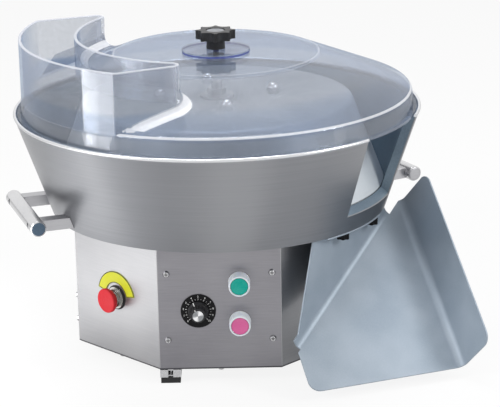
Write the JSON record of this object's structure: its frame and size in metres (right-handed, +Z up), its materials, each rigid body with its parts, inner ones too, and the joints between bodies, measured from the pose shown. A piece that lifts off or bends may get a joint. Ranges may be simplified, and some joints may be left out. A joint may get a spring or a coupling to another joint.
{
  "type": "dough rounder",
  "caption": "Bench-top conical dough rounder: a coated cone turns in a fixed bowl under a clear lid with a side hopper, over an octagonal base with controls and a folded exit chute.",
  "frame": {"origin": "on the axis of the cone, level with the undersides of the feet, at the middle of the circle of foot holes", "axes": "+Z up along the axis of the cone, -Y out of the front control panel, +X to the viewer's right, towards the chute"},
  "size_m": [0.6927, 0.5999, 0.468],
  "materials": {
    "stainless": "brushed stainless sheet",
    "bright_steel": "plain bright steel",
    "panel_steel": "brushed stainless panel",
    "coating": "non-stick coated aluminium",
    "chute_coat": "non-stick coated sheet steel",
    "cast_aluminium": "machined casting",
    "clear_plastic": "clear formed plastic",
    "black_plastic": "moulded black plastic",
    "grey_plastic": "moulded grey plastic",
    "white_plastic": "moulded white plastic",
    "black_rubber": "moulded rubber",
    "green_plastic": "moulded green plastic",
    "red_plastic": "moulded red plastic",
    "pink_plastic": "moulded red plastic",
    "yellow_plastic": "moulded yellow plastic",
    "dark_metal": "dark painted metal",
    "chrome": "chromed"
  },
  "bodies": {
    "base": {"base_housing": "stainless", "front_panel": "panel_steel", "panel_screws": "bright_steel", "drive_screws": "bright_steel", "bottom_plate": "stainless", "bottom_screws": "bright_steel", "foot_channels": "bright_steel", "foot_pads": "black_rubber", "cable_gland": "black_plastic", "bowl_floor": "stainless", "floor_screws": "bright_steel", "bowl_skin": "stainless", "bowl_wall": "coating", "bearing_housing": "cast_aluminium", "housing_screws": "bright_steel", "shaft_bearings": "bright_steel", "shaft_seal": "black_rubber", "motor_plate": "bright_steel", "motor_standoffs": "bright_steel", "motor_body": "dark_metal", "motor_shields": "cast_aluminium", "drive_belt": "black_rubber", "speed_drive": "dark_metal", "terminal_block": "white_plastic", "dial_plate": "black_plastic", "potentiometer": "grey_plastic", "button_rings": "grey_plastic", "button_guards": "clear_plastic", "contact_blocks": "black_plastic", "estop_legend": "yellow_plastic", "estop_collar": "chrome", "estop_block": "black_plastic", "handle_bars": "bright_steel", "handle_brackets": "bright_steel", "handle_bolts": "dark_metal"},
    "rotor": {"rotor_cone": "coating", "rotor_hub": "cast_aluminium", "drive_shaft": "bright_steel", "driven_pulley": "cast_aluminium", "rotor_nuts": "bright_steel", "shaft_nut": "bright_steel"},
    "motor_rotor": {"motor_shaft": "bright_steel", "motor_pulley": "cast_aluminium"},
    "lid": {"lid_shell": "clear_plastic", "lid_disc": "clear_plastic", "lid_knob": "black_plastic", "lid_nut": "bright_steel"},
    "start_button": {"start_cap": "green_plastic"},
    "stop_button": {"stop_cap": "pink_plastic"},
    "speed_dial": {"dial_knob": "black_plastic", "dial_cap": "cast_aluminium", "pot_shaft": "bright_steel"},
    "emergency_plunger": {"estop_stem": "chrome"},
    "emergency_head": {"estop_head": "red_plastic"},
    "chute": {"chute_sheet": "chute_coat"},
    "left_thumb": {"left_thumb_knob": "black_plastic"},
    "right_thumb": {"right_thumb_knob": "black_plastic"}
  },
  "joints": [
    {"name": "rotor_spin", "type": "hinge", "parent": "base", "child": "rotor", "pos_m": [0, 0, 0.208], "axis": [0, 0, 1], "continuous": true},
    {"name": "motor_spin", "type": "hinge", "parent": "base", "child": "motor_rotor", "pos_m": [0, 0.125, 0.16], "axis": [0, 0, 1], "continuous": true},
    {"name": "lid_lift", "type": "slide", "parent": "base", "child": "lid", "axis": [0, 0, 1], "range_m": [0, 0.16]},
    {"name": "start_press", "type": "slide", "parent": "base", "child": "start_button", "axis": [0, 1, 0], "range_m": [0, 0.004], "stiffness_N_per_m": 900, "springref_m": -0.001},
    {"name": "stop_press", "type": "slide", "parent": "base", "child": "stop_button", "axis": [0, 1, 0], "range_m": [0, 0.004], "stiffness_N_per_m": 900, "springref_m": -0.001},
    {"name": "speed_turn", "type": "hinge", "parent": "base", "child": "speed_dial", "pos_m": [-0.0305, -0.2125, 0.11], "axis": [0, -1, 0], "range_deg": [-163, 107]},
    {"name": "emergency_push", "type": "slide", "parent": "base", "child": "emergency_plunger", "axis": [0.7071, 0.7071, 0], "range_m": [0, 0.004]},
    {"name": "emergency_release", "type": "hinge", "parent": "emergency_plunger", "child": "emergency_head", "pos_m": [-0.1492, -0.1492, 0.11], "axis": [-0.7071, -0.7071, 0], "range_deg": [-45, 0], "stiffness_Nm_per_rad": 0.05, "springref_deg": 2.86},
    {"name": "chute_drop", "type": "slide", "parent": "base", "child": "chute", "axis": [0, 0, -1], "range_m": [0, 0.012]},
    {"name": "left_thumb_turn", "type": "hinge", "parent": "chute", "child": "left_thumb", "pos_m": [0.17725, -0.16061, 0.206], "axis": [0, 0, 1], "continuous": true},
    {"name": "right_thumb_turn", "type": "hinge", "parent": "chute", "child": "right_thumb", "pos_m": [0.22228, -0.09448, 0.206], "axis": [0, 0, 1], "continuous": true}
  ],
  "couplings": [
    {"joint": "motor_spin", "follows": "rotor_spin", "ratio": 3}
  ]
}
